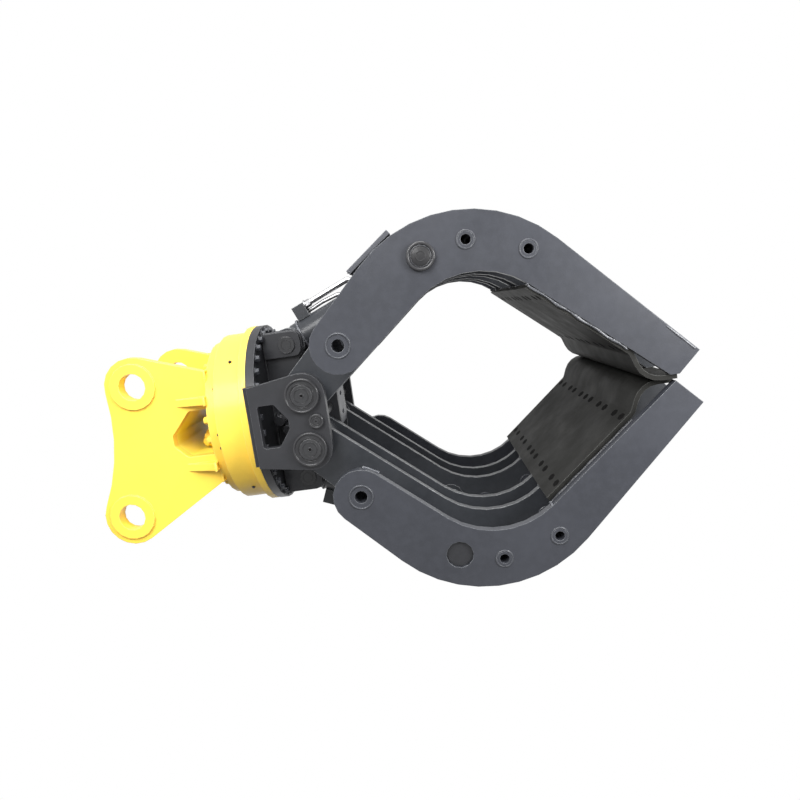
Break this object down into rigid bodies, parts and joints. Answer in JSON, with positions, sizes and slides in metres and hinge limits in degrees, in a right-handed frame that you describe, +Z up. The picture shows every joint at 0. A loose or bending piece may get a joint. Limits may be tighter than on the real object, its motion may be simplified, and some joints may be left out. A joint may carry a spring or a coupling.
{
  "type": "log grapple",
  "caption": "Rotating log grapple for an excavator stick: pinned head ears, slewing ring, hinge frame and two curved jaws of parallel plates with wear shells, worked by cylinders.",
  "frame": {"origin": "on the slewing axis, level with the middle of the two stick pin bores", "axes": "+Z up along the slewing axis towards the stick, X across the opening of the jaws, Y along the hinge pins"},
  "size_m": [0.9776, 0.858, 1.7035],
  "materials": {
    "yellow_paint": "glossy yellow enamel",
    "grey_paint": "satin dark grey enamel",
    "dark_grey_paint": "satin dark grey enamel, thinner and scuffed",
    "machined_steel": "machined steel, oiled",
    "hard_chrome": "hard chrome, polished"
  },
  "bodies": {
    "head": {"head_ear_left": "yellow_paint", "head_ear_right": "yellow_paint", "head_base_plate": "yellow_paint", "head_port_liner": "yellow_paint", "slew_guard_ring": "yellow_paint", "slew_bearing_outer_ring": "machined_steel", "slew_motor": "yellow_paint", "swivel_housing": "yellow_paint"},
    "pinion": {"slew_pinion": "machined_steel"},
    "frame": {"frame_top_plate": "grey_paint", "frame_side_left": "grey_paint", "frame_side_right": "grey_paint", "frame_web_left": "grey_paint", "frame_web_right": "grey_paint", "frame_foot_plate": "grey_paint", "slew_ring_gear": "machined_steel", "swivel_core": "machined_steel", "frame_tie_bar": "grey_paint", "hinge_pin_a": "grey_paint", "hinge_pin_b": "grey_paint", "hinge_end_cap_a": "grey_paint", "hinge_end_cap_b": "grey_paint", "lug_pin_a": "grey_paint", "lug_pin_b": "grey_paint"},
    "jaw_a": {"jaw_a_tine_1": "grey_paint", "jaw_a_tine_2": "dark_grey_paint", "jaw_a_tine_3": "dark_grey_paint", "jaw_a_tine_4": "dark_grey_paint", "jaw_a_tine_5": "dark_grey_paint", "jaw_a_tine_6": "grey_paint", "jaw_a_shell": "dark_grey_paint", "jaw_a_guard_plate": "grey_paint", "jaw_a_tie_tube_upper": "grey_paint", "jaw_a_tie_tube_lower": "grey_paint", "jaw_a_eye_tube_left": "grey_paint", "jaw_a_eye_tube_right": "grey_paint", "jaw_a_rod_pin": "grey_paint", "jaw_a_access_cover": "grey_paint"},
    "barrel_a": {"cylinder_a_barrel": "grey_paint", "cylinder_a_gland": "machined_steel", "cylinder_a_pipe": "machined_steel"},
    "rod_a": {"cylinder_a_rod": "hard_chrome"},
    "jaw_b": {"jaw_b_tine_1": "grey_paint", "jaw_b_tine_2": "dark_grey_paint", "jaw_b_tine_3": "dark_grey_paint", "jaw_b_tine_4": "dark_grey_paint", "jaw_b_tine_5": "dark_grey_paint", "jaw_b_tine_6": "grey_paint", "jaw_b_shell": "dark_grey_paint", "jaw_b_guard_plate": "grey_paint", "jaw_b_tie_tube_upper": "grey_paint", "jaw_b_tie_tube_lower": "grey_paint", "jaw_b_eye_tube_left": "grey_paint", "jaw_b_eye_tube_right": "grey_paint", "jaw_b_rod_pin": "grey_paint", "jaw_b_access_cover": "grey_paint"},
    "barrel_b": {"cylinder_b_barrel": "grey_paint", "cylinder_b_gland": "machined_steel", "cylinder_b_pipe": "machined_steel"},
    "rod_b": {"cylinder_b_rod": "hard_chrome"}
  },
  "joints": [
    {"name": "slew", "type": "hinge", "parent": "head", "child": "frame", "pos_m": [0, 0, -0.385], "axis": [0, 0, 1], "continuous": true},
    {"name": "pinion_spin", "type": "hinge", "parent": "head", "child": "pinion", "pos_m": [-0.025, 0.11737, -0.285], "axis": [0, 0, 1], "continuous": true},
    {"name": "jaw_a_hinge", "type": "hinge", "parent": "frame", "child": "jaw_a", "pos_m": [0.075, 0, -0.553], "axis": [0, -1, 0], "range_deg": [0, 45]},
    {"name": "barrel_a_pivot", "type": "hinge", "parent": "frame", "child": "barrel_a", "pos_m": [0.209, 0, -0.486], "axis": [0, -1, 0], "range_deg": [0, 50]},
    {"name": "rod_a_pivot", "type": "hinge", "parent": "jaw_a", "child": "rod_a", "pos_m": [0.39, 0, -0.922], "axis": [0, -1, 0], "range_deg": [0, 5]},
    {"name": "jaw_b_hinge", "type": "hinge", "parent": "frame", "child": "jaw_b", "pos_m": [-0.075, 0, -0.553], "axis": [0, 1, 0], "range_deg": [0, 45]},
    {"name": "barrel_b_pivot", "type": "hinge", "parent": "frame", "child": "barrel_b", "pos_m": [-0.209, 0, -0.486], "axis": [0, 1, 0], "range_deg": [0, 50]},
    {"name": "rod_b_pivot", "type": "hinge", "parent": "jaw_b", "child": "rod_b", "pos_m": [-0.39, 0, -0.922], "axis": [0, 1, 0], "range_deg": [0, 5]}
  ],
  "couplings": [
    {"joint": "pinion_spin", "follows": "slew", "ratio": 4.3333},
    {"joint": "jaw_b_hinge", "follows": "jaw_a_hinge", "ratio": 1},
    {"joint": "barrel_a_pivot", "follows": "jaw_a_hinge", "ratio": 1.096},
    {"joint": "rod_a_pivot", "follows": "jaw_a_hinge", "ratio": 0.096},
    {"joint": "barrel_b_pivot", "follows": "jaw_a_hinge", "ratio": 1.096},
    {"joint": "rod_b_pivot", "follows": "jaw_a_hinge", "ratio": 0.096}
  ]
}
